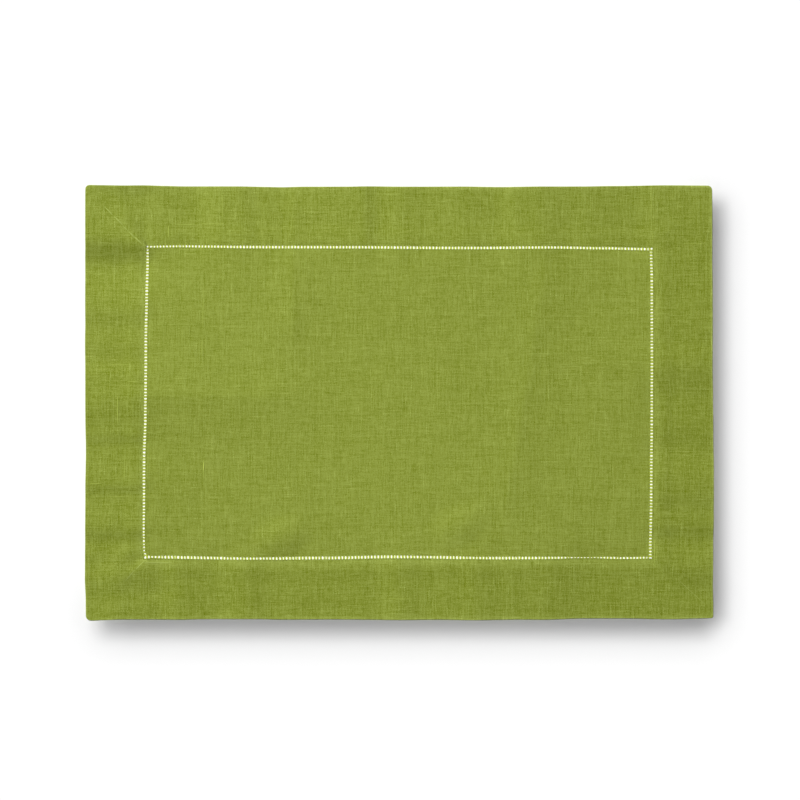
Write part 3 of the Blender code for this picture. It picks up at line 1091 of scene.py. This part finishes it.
@dataclass
class HemstitchThread:
    """Sewing thread of the hemstitch: a turn round each bundle's two ends, and its bites."""

    cloth: LinenCloth
    bundles: YarnBundles
    radius: float = 0.00008
    turn_points: int = 8
    turn_half_height: float = 0.00032
    turn_drop: float = 0.7
    turn_inset: float = 0.0001
    turn_share: float = 0.33
    stitch_inset: float = 0.0002
    hem_bite: float = 0.0016
    panel_bite: float = 0.0011
    arch: float = 0.00010
    dive: float = 0.00014
    stitch_shares: Sequence[float] = (0.0, 0.15, 0.5, 0.85, 1.0)
    corner_turn: float = 0.25
    corner_reach: float = 1.5
    corner_threads: dict[tuple[int, int], int] = field(default_factory=lambda: {
        (-1, 1): 1, (1, 1): 1, (-1, -1): 0, (1, -1): 1})

    def turn(self, side: Side, along: float, reach: float, half_width: float) -> Array:
        """Points of one turn of thread round a bundle.

        Args:
            side: The side of the mat.
            along: The bundle's place along the row.
            reach: The turn's place outwards from the row's line.
            half_width: Half the turn's width.

        Returns:
            The points.
        """
        angle = 2 * np.pi * np.arange(self.turn_points) / self.turn_points
        places = along + half_width * np.cos(angle)
        path = self.cloth.points_at(side, places, np.full(self.turn_points, reach))
        rise = self.turn_half_height * (np.sin(angle) - self.turn_drop)
        path[:, 2] = path[:, 2].mean() + rise
        return path

    def stitch(self, side: Side, along: float, start: float, end: float) -> Array:
        """Points of one stitch over the cloth, which goes in at its far end.

        Args:
            side: The side of the mat.
            along: Its place along the row.
            start: Where it starts, outwards from the row's line.
            end: Where its needle hole is, outwards from the row's line.

        Returns:
            The points.
        """
        share = np.array(self.stitch_shares)
        path = self.cloth.points_at(side, np.full(len(share), along),
                                    start + (end - start) * share)
        path[:, 2] += np.array([-self.dive, self.arch / 2, self.arch, self.arch / 2, -self.dive])
        return path

    def across_corner(self, way_x: int, way_y: int, count: int) -> list[Array]:
        """Points of the threads that cross one corner's open square.

        Args:
            way_x: 1 for a corner on the right, or -1.
            way_y: 1 for a corner at the top, or -1.
            count: How many threads cross there.

        Returns:
            The paths.
        """
        shape = self.cloth.shape
        side = Side.TOP if way_y > 0 else Side.BOTTOM
        half = float(self.cloth.strip.half_width(side, np.array([way_x * shape.row_x]))[0])
        paths = []
        for index in range(count):
            turn = math.pi * (index + 0.5) / count + self.corner_turn
            step = self.corner_reach * half * np.array([math.cos(turn), math.sin(turn)])
            places = np.array([-1.0, 0.0, 1.0])
            x = way_x * shape.row_x + step[0] * places
            y = way_y * shape.row_y + step[1] * places
            paths.append(self.cloth.place(x, y, self.cloth.relief.row_height))
        return paths

    def build(self) -> bpy.types.Object:
        """Lay all of the thread, as one piece.

        Returns:
            The thread.
        """
        paths, closed = [], []
        for side in Side:
            places = self.bundles.places(side)
            pitch = places[1] - places[0]
            half = self.cloth.strip.half_width(side, places)
            for along, open_half in zip(places, half):
                gap = float(along) + pitch / 2
                turn_reach = open_half - self.turn_inset
                start = open_half - self.stitch_inset
                paths.extend([
                    self.turn(side, float(along), turn_reach, self.turn_share * pitch),
                    self.turn(side, float(along), -turn_reach, self.turn_share * pitch),
                    self.stitch(side, gap, start, open_half + self.hem_bite),
                    self.stitch(side, gap, -start, -open_half - self.panel_bite)])
                closed.extend([True, True, False, False])
        for (way_x, way_y), count in self.corner_threads.items():
            across = self.across_corner(way_x, way_y, count)
            paths.extend(across)
            closed.extend([False] * len(across))
        radii = [np.full(len(path), self.radius) for path in paths]
        return make_tubes("hemstitch_thread", paths, radii, closed)


class LaidYarn(NamedTuple):
    """A light stretch on the face, for a slub and for a seam's painted highlight alike: its
    middle, turn, half length and radius.

    The turn is in degrees, and the rest in millimetres.
    """

    x: float
    y: float
    turn: float
    half_length: float
    radius: float


SLUBS = (
    LaidYarn(x=204.7, y=160, turn=90, half_length=15, radius=0.20),
    LaidYarn(x=206.0, y=136, turn=90, half_length=9, radius=0.16),
    LaidYarn(x=207.9, y=-121, turn=90, half_length=10, radius=0.24),
    LaidYarn(x=209.5, y=-121, turn=90, half_length=8, radius=0.16),
    LaidYarn(x=238.5, y=129.9, turn=0, half_length=9, radius=0.18),
    LaidYarn(x=-158.9, y=44, turn=90, half_length=6.5, radius=0.32),
    LaidYarn(x=-158.7, y=78, turn=90, half_length=20, radius=0.15),
    LaidYarn(x=-178.6, y=124, turn=90, half_length=4, radius=0.20),
    LaidYarn(x=-156.3, y=-52, turn=90, half_length=3.8, radius=0.55),
    LaidYarn(x=-156.5, y=-54, turn=90, half_length=9, radius=0.16),
    LaidYarn(x=-227.2, y=-6, turn=90, half_length=12, radius=0.27),
    LaidYarn(x=-151.0, y=144.4, turn=0, half_length=11, radius=0.20),
    LaidYarn(x=-173.0, y=143.9, turn=0, half_length=9.5, radius=0.17),
    LaidYarn(x=-187.6, y=138, turn=90, half_length=5, radius=0.32),
    LaidYarn(x=-143.7, y=159, turn=90, half_length=9.5, radius=0.22),
    LaidYarn(x=-221.1, y=-56, turn=90, half_length=9.5, radius=0.24),
    LaidYarn(x=-226.0, y=-76.8, turn=0, half_length=9.5, radius=0.14),
    LaidYarn(x=-226.0, y=30.1, turn=0, half_length=8, radius=0.17),
    LaidYarn(x=-245.7, y=-66.2, turn=0, half_length=5, radius=0.26),
    LaidYarn(x=-215.0, y=16.5, turn=0, half_length=4.5, radius=0.20),
    LaidYarn(x=1.0, y=-158.7, turn=0, half_length=9.5, radius=0.20),
)

# Painted highlights: low ridges over the mitred corners' seams, coloured lighter than the cloth,
# and one along the bottom row's hem side.
MITRE_SEAM_HIGHLIGHTS = (
    LaidYarn(x=-235.5, y=154.8, turn=-45, half_length=5.0, radius=0.85),
    LaidYarn(x=-227.8, y=147.1, turn=-45, half_length=5.2, radius=1.00),
    LaidYarn(x=-221.7, y=140.1, turn=-46, half_length=3.0, radius=0.60),
    LaidYarn(x=-217.0, y=135.4, turn=-44, half_length=3.6, radius=0.85),
    LaidYarn(x=-212.0, y=130.6, turn=-42, half_length=4.2, radius=1.10),
    LaidYarn(x=-209.1, y=-132.3, turn=45, half_length=5.5, radius=1.00),
    LaidYarn(x=-216.9, y=-140.0, turn=49, half_length=6.0, radius=0.70),
    # Painted highlight along the hem's shoulder just below the bottom row, where it faces the
    # light.
    LaidYarn(x=-195.0, y=-130.1, turn=0, half_length=12.0, radius=0.85),
    LaidYarn(x=237.2, y=-153.9, turn=-44, half_length=14.0, radius=0.40),
)


@dataclass
class LaidYarns:
    """Light stretches that stand a little proud of the cloth: slubs of single yarns, and low
    ridges over the seams whose lighter colour is a painted highlight.
    """

    cloth: LinenCloth
    name: str
    yarns: Sequence[LaidYarn]
    sunk: float = 0.45
    tip_share: float = 0.15
    points: int = 9

    def build(self) -> bpy.types.Object:
        """Lay the yarns on the cloth's face.

        Returns:
            The yarns, as one piece.
        """
        share = np.linspace(-1.0, 1.0, self.points)
        paths, radii = [], []
        for yarn in self.yarns:
            turn = math.radians(yarn.turn)
            x = (yarn.x + yarn.half_length * share * math.cos(turn)) * MM
            y = (yarn.y + yarn.half_length * share * math.sin(turn)) * MM
            swell = self.tip_share + (1 - self.tip_share) * np.sqrt(1.0 - share ** 2)
            radius = yarn.radius * MM * swell
            height = self.cloth.face_height(x, y) - self.sunk * radius
            paths.append(self.cloth.place(x, y, height))
            radii.append(radius)
        return make_tubes(self.name, paths, radii, [False] * len(paths), roundness=2)


def new_group(name: str, inputs: dict[str, float], outputs: Sequence[str]
              ) -> tuple[bpy.types.NodeTree, bpy.types.Node, bpy.types.Node]:
    """Make an empty shader node group whose inputs and outputs are all values.

    Args:
        name: The group's name.
        inputs: Default of each input, by its name.
        outputs: Name of each output.

    Returns:
        The group, its input node and its output node.
    """
    group = bpy.data.node_groups.new(name, "ShaderNodeTree")
    for title, default in inputs.items():
        socket = group.interface.new_socket(title, in_out="INPUT", socket_type="NodeSocketFloat")
        socket.default_value = default
    for title in outputs:
        group.interface.new_socket(title, in_out="OUTPUT", socket_type="NodeSocketFloat")
    return group, group.nodes.new("NodeGroupInput"), group.nodes.new("NodeGroupOutput")


def new_material(name: str, roughness: float,
                 specular: float) -> tuple[bpy.types.Material, bpy.types.Node]:
    """Make a material of one Principled shader.

    Args:
        name: The material's name.
        roughness: The shader's roughness.
        specular: The shader's specular level.

    Returns:
        The material and its shader.
    """
    material = bpy.data.materials.new(name)
    material.use_nodes = True
    shader = material.node_tree.nodes["Principled BSDF"]
    shader.inputs["Roughness"].default_value = roughness
    shader.inputs["Specular IOR Level"].default_value = specular
    return material, shader


class NodeWriter:
    """Short ways to add nodes to a tree and link them."""

    def __init__(self, tree: bpy.types.NodeTree) -> None:
        """Write into one node tree."""
        self.tree = tree

    def math(self, operation: str, *values: object) -> bpy.types.NodeSocket:
        """Add a Math node.

        Args:
            operation: The node's operation.
            values: Numbers or sockets for its inputs, in order.

        Returns:
            The node's output.
        """
        node = self.tree.nodes.new("ShaderNodeMath")
        node.operation = operation
        self.feed(node, values)
        return node.outputs[0]

    def feed(self, node: bpy.types.Node, values: Sequence[object]) -> None:
        """Set or link a node's inputs in order."""
        for socket, value in zip(node.inputs, values):
            if isinstance(value, bpy.types.NodeSocket):
                self.tree.links.new(value, socket)
            elif value is not None:
                socket.default_value = value

    def combine(self, *values: object) -> bpy.types.NodeSocket:
        """Add a Combine XYZ node fed with numbers or sockets."""
        node = self.tree.nodes.new("ShaderNodeCombineXYZ")
        self.feed(node, values)
        return node.outputs[0]

    def noise(self, vector: object, scale: float, detail: float,
              roughness: float = 0.5) -> bpy.types.NodeSocket:
        """Add a Noise Texture and return its value, from 0 to 1."""
        node = self.tree.nodes.new("ShaderNodeTexNoise")
        node.inputs["Scale"].default_value = scale
        node.inputs["Detail"].default_value = detail
        node.inputs["Roughness"].default_value = roughness
        self.tree.links.new(vector, node.inputs["Vector"])
        return node.outputs[0]

    def shifted(self, vector: object, distance: float) -> bpy.types.NodeSocket:
        """Add the same distance to all three parts of a vector."""
        node = self.tree.nodes.new("ShaderNodeVectorMath")
        node.operation = "ADD"
        self.feed(node, (vector, (distance, distance, distance)))
        return node.outputs[0]

    def weighed(self, first: object, first_share: object, second: object,
                second_share: object) -> bpy.types.NodeSocket:
        """Add two values, each times its share."""
        return self.math("ADD", self.math("MULTIPLY", first, first_share),
                         self.math("MULTIPLY", second, second_share))

    def mix(self, share: object, first: tuple, second: tuple) -> bpy.types.NodeSocket:
        """Mix two colours by a share that may pass 0 and 1."""
        # Inputs 6 and 7 of a Mix node are its two colours, and output 2 is their mixture.
        node = self.tree.nodes.new("ShaderNodeMix")
        node.data_type = "RGBA"
        node.clamp_factor = False
        self.tree.links.new(share, node.inputs[0])
        node.inputs[6].default_value = (*first, 1.0)
        node.inputs[7].default_value = (*second, 1.0)
        return node.outputs[2]


@dataclass(frozen=True)
class YarnTone:
    """Tone of single yarns: each has its own, which changes along its length.

    Slubs are the peaks of a second noise over slub_from. Lengths are in millimetres. The yarns
    lie yarn_step apart in the noise, so that neighbours have nothing in common.
    """

    length: float = 40.0
    detail: float = 5.0
    roughness: float = 1.0
    spread: float = 8.0
    slub_length: float = 16.0
    slub_from: float = 0.64
    slub_gain: float = 12.0
    slub_most: float = 1.6
    slub_slice: float = 20.0
    yarn_step: float = 7.31

    def group(self) -> bpy.types.NodeTree:
        """Build the node group.

        Returns:
            A group from a yarn's number and the place along it to a value around zero.
        """
        group, source, sink = new_group(
            "yarn tone", {"Yarn": 0.0, "Along": 0.0, "Length": self.length,
                          "Slub Length": self.slub_length, "Seed": 0.0}, ["Tone"])
        write = NodeWriter(group)
        given = source.outputs
        apart = write.math("MULTIPLY", given["Yarn"], self.yarn_step)
        along = write.math("DIVIDE", given["Along"], given["Length"])
        place = write.combine(apart, along, given["Seed"])
        value = write.noise(place, scale=1.0, detail=self.detail, roughness=self.roughness)
        centred = write.math("SUBTRACT", value, 0.5)
        short = write.math("DIVIDE", given["Along"], given["Slub Length"])
        elsewhere = write.math("ADD", given["Seed"], self.slub_slice)
        other_place = write.combine(apart, short, elsewhere)
        chance = write.noise(other_place, scale=1.0, detail=1.0)
        peaks = write.math("MAXIMUM", write.math("SUBTRACT", chance, self.slub_from), 0.0)
        slub = write.math("MULTIPLY", peaks, self.slub_gain)
        whole = write.math("MULTIPLY_ADD", centred, self.spread,
                           write.math("MINIMUM", slub, self.slub_most))
        group.links.new(whole, sink.inputs["Tone"])
        return group


@dataclass(frozen=True)
class PlainWeave:
    """Plain weave of uneven yarns, each over one and under the next.

    The yarns wander sideways by a slow noise, the upright ones by one part of it and the level
    ones by another. Sizes are in millimetres, and the material gives the pitch.
    """

    wander: float = 0.7
    sway_rate: float = 0.09
    other_sway: float = 40.0
    upright_seed: float = 3.3
    level_seed: float = 9.7
    dip_depth: float = 0.5

    def group(self, tone_group: bpy.types.NodeTree) -> bpy.types.NodeTree:
        """Build the node group.

        Args:
            tone_group: The tone of single yarns.

        Returns:
            A group from places in millimetres to the top yarn's tone and height.
        """
        group, source, sink = new_group(
            "plain weave", {"Across": 0.0, "Up": 0.0, "Pitch": 1.0,
                            "Wander": self.wander, "Upright Share": 1.0}, ["Tone", "Height"])
        write = NodeWriter(group)
        given = source.outputs
        place = write.combine(given["Across"], given["Up"], 0.0)
        elsewhere = write.shifted(place, self.other_sway)
        directions = []
        for first, where in ((given["Across"], place), (given["Up"], elsewhere)):
            sway = write.noise(where, scale=self.sway_rate, detail=1.0)
            drift = write.math("SUBTRACT", sway, 0.5)
            moved = write.math("ADD", first, write.math("MULTIPLY", drift, given["Wander"]))
            at = write.math("DIVIDE", moved, given["Pitch"])
            directions.append((write.math("FLOOR", at), write.math("FRACT", at)))
        (upright, share_across), (level, share_up) = directions
        over = write.math("PINGPONG", write.math("ADD", upright, level), 1.0)
        under = write.math("SUBTRACT", 1.0, over)
        tones = []
        for number, along, seed in ((upright, given["Up"], self.upright_seed),
                                    (level, given["Across"], self.level_seed)):
            node = group.nodes.new("ShaderNodeGroup")
            node.node_tree = tone_group
            group.links.new(number, node.inputs["Yarn"])
            group.links.new(along, node.inputs["Along"])
            node.inputs["Seed"].default_value = seed
            tones.append(node.outputs[0])
        upright_tone = write.math("MULTIPLY", tones[0], given["Upright Share"])
        tone = write.weighed(upright_tone, over, tones[1], under)
        round_across = write.math("SINE", write.math("MULTIPLY", share_across, math.pi))
        round_up = write.math("SINE", write.math("MULTIPLY", share_up, math.pi))
        crown = write.weighed(write.math("SQRT", round_across), over,
                              write.math("SQRT", round_up), under)
        dip = write.weighed(round_up, over, round_across, under)
        hollow = write.math("MULTIPLY_ADD", dip, self.dip_depth, 1.0 - self.dip_depth)
        height = write.math("MULTIPLY", crown, hollow)
        group.links.new(tone, sink.inputs["Tone"])
        group.links.new(height, sink.inputs["Height"])
        return group


@dataclass(frozen=True)
class LinenFinish:
    """Green slubbed linen in plain weave, read from the UV map named linen.

    The colour lies between dark and light, or past them, by how light the yarn is: light_gain
    and light_start turn a lightness around 1 into the share of the light colour.
    """

    name: str
    contrast: float = 0.255
    dark: tuple[float, float, float] = (0.1315, 0.1635, 0.0140)
    light: tuple[float, float, float] = (0.2025, 0.2450, 0.0434)
    light_gain: float = 2.5
    light_start: float = -2.0
    yarn_pitch_mm: float = 0.66
    upright_share: float = 1.15
    # Painted shade in the gaps between yarns: how deep it is, and the weave height where there is
    # none.
    gap_shade: float = 0.25
    gap_level: float = 0.6
    roughness: float = 0.9
    specular: float = 0.05
    sheen: float = 0.04
    weave_depth: float = 0.00010
    tone_relief: float = 0.25

    def material(self, weave: bpy.types.NodeTree) -> bpy.types.Material:
        """Build the cloth's material.

        Args:
            weave: The plain weave group.

        Returns:
            The material.
        """
        material, shader = new_material(self.name, self.roughness, self.specular)
        shader.inputs["Sheen Weight"].default_value = self.sheen
        tree = material.node_tree
        write = NodeWriter(tree)
        place = tree.nodes.new("ShaderNodeUVMap")
        place.uv_map = "linen"
        split = tree.nodes.new("ShaderNodeSeparateXYZ")
        tree.links.new(place.outputs[0], split.inputs[0])
        node = tree.nodes.new("ShaderNodeGroup")
        node.node_tree = weave
        for socket, axis in (("Across", 0), ("Up", 1)):
            tree.links.new(write.math("MULTIPLY", split.outputs[axis], 1.0 / MM),
                           node.inputs[socket])
        node.inputs["Pitch"].default_value = self.yarn_pitch_mm
        node.inputs["Upright Share"].default_value = self.upright_share
        tone, height = node.outputs["Tone"], node.outputs["Height"]
        # The tone attribute brings the hem's painted light and shade into the colour.
        painted_hem_light = tree.nodes.new("ShaderNodeAttribute")
        painted_hem_light.attribute_name = "tone"
        # Painted shade: the cloth is darkened where the weave lies low, between the yarns.
        gap_shade_factor = write.math("MULTIPLY_ADD", height, self.gap_shade,
                          1.0 - self.gap_level * self.gap_shade)
        light = write.math("MULTIPLY", write.math("MULTIPLY_ADD", tone, self.contrast, 1.0), gap_shade_factor)
        light = write.math("MULTIPLY", light, painted_hem_light.outputs["Fac"])
        share = write.math("MULTIPLY_ADD", light, self.light_gain, self.light_start)
        tree.links.new(write.mix(share, self.dark, self.light), shader.inputs["Base Color"])
        bump = tree.nodes.new("ShaderNodeBump")
        bump.inputs["Distance"].default_value = self.weave_depth
        surface = write.math("MULTIPLY_ADD", tone, self.tone_relief, height)
        tree.links.new(surface, bump.inputs["Height"])
        tree.links.new(bump.outputs[0], shader.inputs["Normal"])
        return material


@dataclass(frozen=True)
class YarnFinish:
    """Linen yarn or thread, whose colour varies by a fine grain from grain_floor upwards."""

    name: str = "bare yarn"
    # This default colour, used for the bare yarns, is far lighter than the woven cloth's: painted
    # light, standing in for the white table's light through and around the bare yarns.
    colour: tuple[float, float, float] = (0.393, 0.456, 0.057)
    roughness: float = 0.85
    specular: float = 0.2
    grain_rate: float = 1800.0
    grain_detail: float = 2.0
    grain_range: float = 0.5
    grain_floor: float = 0.75

    def material(self) -> bpy.types.Material:
        """Build the yarn's material on object coordinates."""
        material, shader = new_material(self.name, self.roughness, self.specular)
        tree = material.node_tree
        write = NodeWriter(tree)
        place = tree.nodes.new("ShaderNodeTexCoord").outputs["Object"]
        value = write.noise(place, scale=self.grain_rate, detail=self.grain_detail)
        light = write.math("MULTIPLY_ADD", value, self.grain_range, self.grain_floor)
        scale = tree.nodes.new("ShaderNodeVectorMath")
        scale.operation = "SCALE"
        scale.inputs[0].default_value = self.colour
        tree.links.new(light, scale.inputs["Scale"])
        tree.links.new(scale.outputs[0], shader.inputs["Base Color"])
        return material


@dataclass
class ShadowCards:
    """Cards over the right and lower edges, which no camera sees and which shade the table.

    The photo's shadow lies to the right and below, as wide and soft as that of a raised edge.
    """

    left: float = -0.2435
    right: float = 0.2628
    top: float = 0.1646
    bottom: float = -0.1873
    band: float = 0.033
    corner: float = 0.009
    right_height: float = 0.060
    lower_height: float = 0.074

    def build(self) -> list[bpy.types.Object]:
        """Add the two cards.

        Returns:
            The cards.
        """
        spans = (((self.right - self.band, self.right), (self.bottom + self.corner, self.top),
                  self.right_height),
                 ((self.left, self.right - self.corner), (self.bottom, self.bottom + self.band),
                  self.lower_height))
        cards = []
        for (low_x, high_x), (low_y, high_y), height in spans:
            deselect_all()
            bpy.ops.mesh.primitive_plane_add(size=1.0)
            card = bpy.context.object
            card.name = "shadow_card"
            points = points_of(card)
            points[:, 0] = np.where(points[:, 0] < 0, low_x, high_x)
            points[:, 1] = np.where(points[:, 1] < 0, low_y, high_y)
            points[:, 2] = height
            place_points(card, points)
            for kind in ("camera", "diffuse", "glossy", "transmission", "volume_scatter"):
                setattr(card, f"visible_{kind}", False)
            cards.append(card)
        return cards


class Pool(NamedTuple):
    """A soft pool of light on the mat: its middle, radius and power."""

    x: float
    y: float
    radius: float
    power: float


@dataclass
class Studio:
    """White table top, soft lights from the upper left, and the camera straight above.

    The table has three suns of its own. The cards shade it from two of them, each with its share
    of the light and its angle, and the third lights it evenly.
    """

    view_centre: tuple[float, float] = (0.0005, 0.0023)
    view_width: float = 0.6475
    lens_mm: float = 100.0
    sensor_mm: float = 36.0
    clip_range: tuple[float, float] = (0.05, 20.0)
    floor_half: float = 6.0
    floor_drop: float = 0.0002
    floor_white: float = 0.8
    floor_light: float = 1.015
    open_angle_deg: float = 1.0
    shaded_shares: Sequence[float] = (0.385, 0.405)
    shaded_angles_deg: Sequence[float] = (16.2, 44.0)
    key_rise_deg: float = 28.0
    key_angle_deg: float = 24.0
    key_strength: float = 7.43
    fill_place: tuple[float, float, float] = (-0.42, 0.47, 1.1)
    fill_width: float = 0.9
    fill_power: float = 9.7
    pool_height: float = 1.2
    pool_softness: float = 0.15
    pools: Sequence[Pool] = (Pool(x=-0.170, y=0.095, radius=0.125, power=5.6),
                             Pool(x=0.075, y=0.012, radius=0.088, power=4.2))

    def add_camera(self, shift: tuple[float, float]) -> bpy.types.Object:
        """Add the camera straight above the mat.

        Args:
            shift: How far the mat was shifted to stand over the origin.

        Returns:
            The camera.
        """
        data = bpy.data.cameras.new("camera")
        data.lens = self.lens_mm
        data.sensor_width = self.sensor_mm
        camera = bpy.data.objects.new("camera", data)
        bpy.context.scene.collection.objects.link(camera)
        distance = self.view_width * self.lens_mm / self.sensor_mm
        camera.location = (self.view_centre[0] + shift[0], self.view_centre[1] + shift[1],
                           distance)
        data.clip_start, data.clip_end = self.clip_range
        bpy.context.scene.camera = camera
        return camera

    def add_floor(self) -> bpy.types.Object:
        """Add the white table top."""
        deselect_all()
        bpy.ops.mesh.primitive_plane_add(size=2 * self.floor_half,
                                         location=(0.0, 0.0, -self.floor_drop))
        floor = bpy.context.object
        floor.name = "table_top"
        material, shader = new_material("white table", roughness=1.0, specular=0.0)
        shader.inputs["Base Color"].default_value = (*[self.floor_white] * 3, 1.0)
        floor.data.materials.append(material)
        return floor

    def add_backdrop(self) -> None:
        """Make what lies past the table white, for the camera alone."""
        world = bpy.data.worlds.new("backdrop")
        world.use_nodes = True
        world.node_tree.nodes["Background"].inputs["Color"].default_value = (1.0, 1.0, 1.0, 1.0)
        for kind in ("diffuse", "glossy", "transmission", "scatter"):
            setattr(world.cycles_visibility, kind, False)
        bpy.context.scene.world = world

    def add_light(self, name: str, kind: str, place: tuple[float, float, float],
                  power: float) -> bpy.types.Object:
        """Add a light that faces the mat.

        Args:
            name: The light's name.
            kind: SUN, AREA or SPOT.
            place: Where it is, or the way to it for a sun.
            power: Its strength.

        Returns:
            The light.
        """
        data = bpy.data.lights.new(name, kind)
        data.energy = power
        light = bpy.data.objects.new(name, data)
        bpy.context.scene.collection.objects.link(light)
        light.location = place
        light.rotation_euler = Vector(place).to_track_quat("Z", "Y").to_euler()
        return light

    def limit(self, light: bpy.types.Object, purpose: str, state: str,
              objects: Sequence[bpy.types.Object]) -> None:
        """Say which objects a light falls on, or which may shade it.

        Args:
            light: The light.
            purpose: receiver or blocker.
            state: INCLUDE for only these objects, or EXCLUDE for all but these.
            objects: The objects.
        """
        group = bpy.data.collections.new(f"{light.name} {purpose}")
        for item in objects:
            group.objects.link(item)
        setattr(light.light_linking, f"{purpose}_collection", group)
        for entry in group.collection_objects:
            entry.light_linking.link_state = state

    def light_table(self, floor: bpy.types.Object, cards: Sequence[bpy.types.Object]) -> None:
        """Light the table top alone: most of the light is shaded by the cards."""
        whole = self.floor_light * math.pi / self.floor_white
        suns = [(share, angle, cards)
                for share, angle in zip(self.shaded_shares, self.shaded_angles_deg)]
        suns.append((1 - sum(self.shaded_shares), self.open_angle_deg, [floor]))
        for index, (share, angle, blockers) in enumerate(suns):
            sun = self.add_light(f"table light {index}", "SUN", (0.0, 0.0, 1.0), whole * share)
            sun.data.angle = math.radians(angle)
            self.limit(sun, "receiver", "INCLUDE", [floor])
            self.limit(sun, "blocker", "INCLUDE", blockers)

    def light_mat(self, floor: bpy.types.Object, cards: Sequence[bpy.types.Object]) -> None:
        """Light the mat alone: a key from the upper left, a soft fill and two faint pools."""
        rise = math.radians(self.key_rise_deg)
        level = math.cos(rise) / math.sqrt(2.0)
        key = self.add_light("key", "SUN", (-level, level, math.sin(rise)), self.key_strength)
        key.data.angle = math.radians(self.key_angle_deg)
        fill = self.add_light("fill", "AREA", self.fill_place, self.fill_power)
        fill.data.shape = "DISK"
        fill.data.size = self.fill_width
        lights = [key, fill]
        for index, spot in enumerate(self.pools):
            place = (spot.x, spot.y, self.pool_height)
            pool = self.add_light(f"pool {index}", "SPOT", place, spot.power)
            pool.rotation_euler = (0.0, 0.0, 0.0)
            pool.data.spot_size = 2 * math.atan(spot.radius / self.pool_height)
            pool.data.spot_blend = 1.0
            pool.data.shadow_soft_size = self.pool_softness
            lights.append(pool)
        for light in lights:
            self.limit(light, "receiver", "EXCLUDE", [floor])
            self.limit(light, "blocker", "EXCLUDE", cards)


def main() -> None:
    """Build the mat and its stage."""
    logging.basicConfig(level=logging.INFO, format="%(message)s")
    shape = MatShape()
    shape.centre_on_origin()
    relief = ClothRelief(HemWaves(shape.row_x, shape.row_y))
    cloth = LinenCloth(shape, relief, DrawnStrip())
    panel = cloth.build_panel()
    hem = cloth.build_hem()
    yarns = YarnBundles(cloth)
    bundles = yarns.build()
    thread = HemstitchThread(cloth, yarns).build()
    slubs = LaidYarns(cloth, "slub_yarns", SLUBS).build()
    seam_highlights = LaidYarns(cloth, "mitre_seam_highlights", MITRE_SEAM_HIGHLIGHTS, sunk=0.8).build()
    weave = PlainWeave().group(YarnTone().group())
    panel.data.materials.append(LinenFinish("panel linen").material(weave))
    hem.data.materials.append(LinenFinish("hem linen", contrast=0.29).material(weave))
    for piece, finish in (
            # The bundles take the default colour, with its painted light.
            (bundles, YarnFinish()),
            (thread, YarnFinish("sewing thread", colour=(0.175, 0.212, 0.028))),
            (slubs, YarnFinish("slub yarn", colour=(0.265, 0.318, 0.052))),
            # The seam colour is a painted highlight, lighter than the cloth.
            (seam_highlights, YarnFinish("painted seam highlight", colour=(0.215, 0.260, 0.051)))):
        piece.data.materials.append(finish.material())
    for piece in (panel, hem, bundles, thread, slubs, seam_highlights):
        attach(piece, "root")
        LOG.info("%s: %d faces", piece.name, len(piece.data.polygons))
    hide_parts("linen_mat")
    studio = Studio()
    studio.add_camera(shape.shift)
    floor = studio.add_floor()
    cards = ShadowCards().build()
    studio.add_backdrop()
    studio.light_table(floor, cards)
    studio.light_mat(floor, cards)
    bpy.context.scene.view_settings.view_transform = "Standard"


if __name__ == "__main__":
    main()
